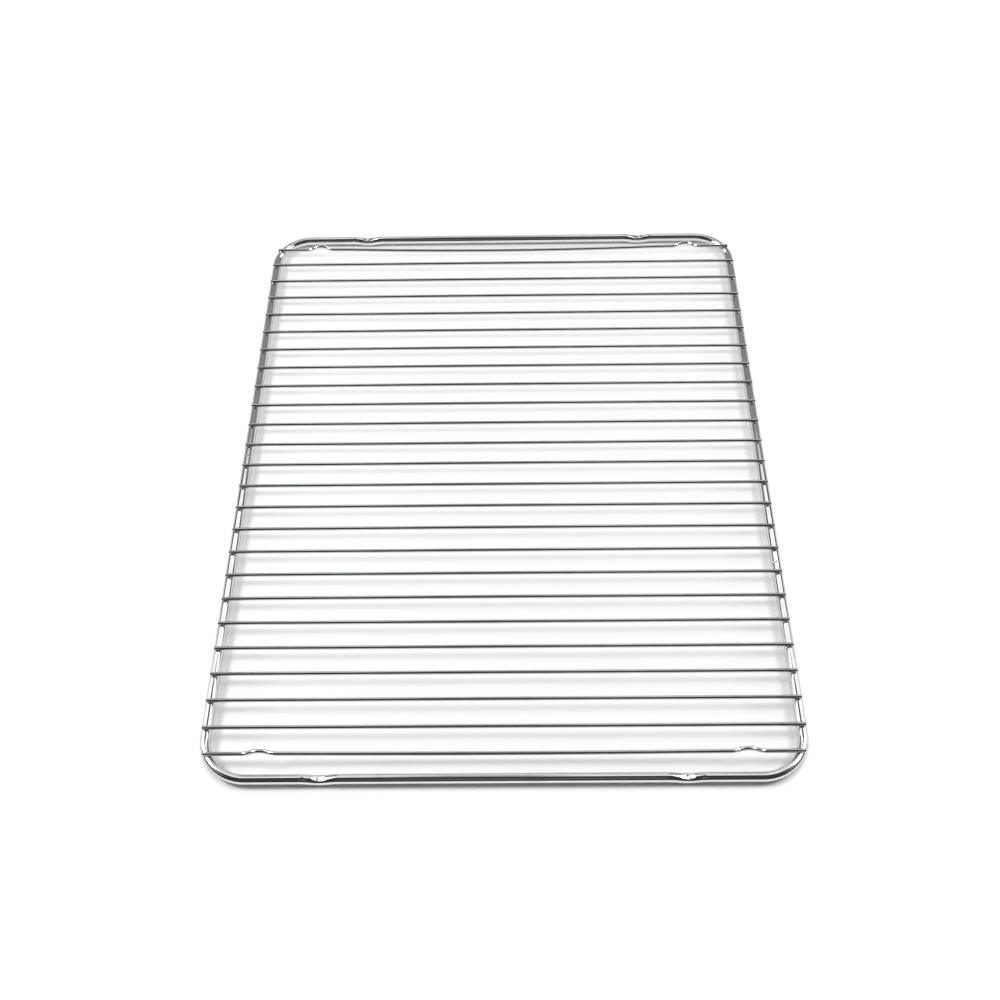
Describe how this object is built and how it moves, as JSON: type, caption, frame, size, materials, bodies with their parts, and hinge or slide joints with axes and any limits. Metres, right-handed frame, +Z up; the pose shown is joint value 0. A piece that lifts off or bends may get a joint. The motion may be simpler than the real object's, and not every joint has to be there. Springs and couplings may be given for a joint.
{
  "type": "oven shelf rack",
  "caption": "Flat chromed wire rack: a rounded rectangular frame of thick wire with pressed dips in its end rails, and thin parallel cross wires welded over it to carry dishes.",
  "frame": {"origin": "on the surface that the rack stands on, under the middle of the frame", "axes": "+Z up; +X along the cross wires, the way the rack slides into the oven; +Y along the frame's length, from one end rail to the other"},
  "size_m": [0.36, 0.465, 0.0132],
  "materials": {
    "chromed_wire": "bright chrome plating on drawn steel wire"
  },
  "bodies": {
    "root": {"frame_wire": "chromed_wire", "cross_wire_01": "chromed_wire", "cross_wire_02": "chromed_wire", "cross_wire_03": "chromed_wire", "cross_wire_04": "chromed_wire", "cross_wire_05": "chromed_wire", "cross_wire_06": "chromed_wire", "cross_wire_07": "chromed_wire", "cross_wire_08": "chromed_wire", "cross_wire_09": "chromed_wire", "cross_wire_10": "chromed_wire", "cross_wire_11": "chromed_wire", "cross_wire_12": "chromed_wire", "cross_wire_13": "chromed_wire", "cross_wire_14": "chromed_wire", "cross_wire_15": "chromed_wire", "cross_wire_16": "chromed_wire", "cross_wire_17": "chromed_wire", "cross_wire_18": "chromed_wire", "cross_wire_19": "chromed_wire", "cross_wire_20": "chromed_wire", "cross_wire_21": "chromed_wire", "cross_wire_22": "chromed_wire", "cross_wire_23": "chromed_wire", "end_wire_near": "chromed_wire", "end_wire_far": "chromed_wire"}
  },
  "joints": []
}
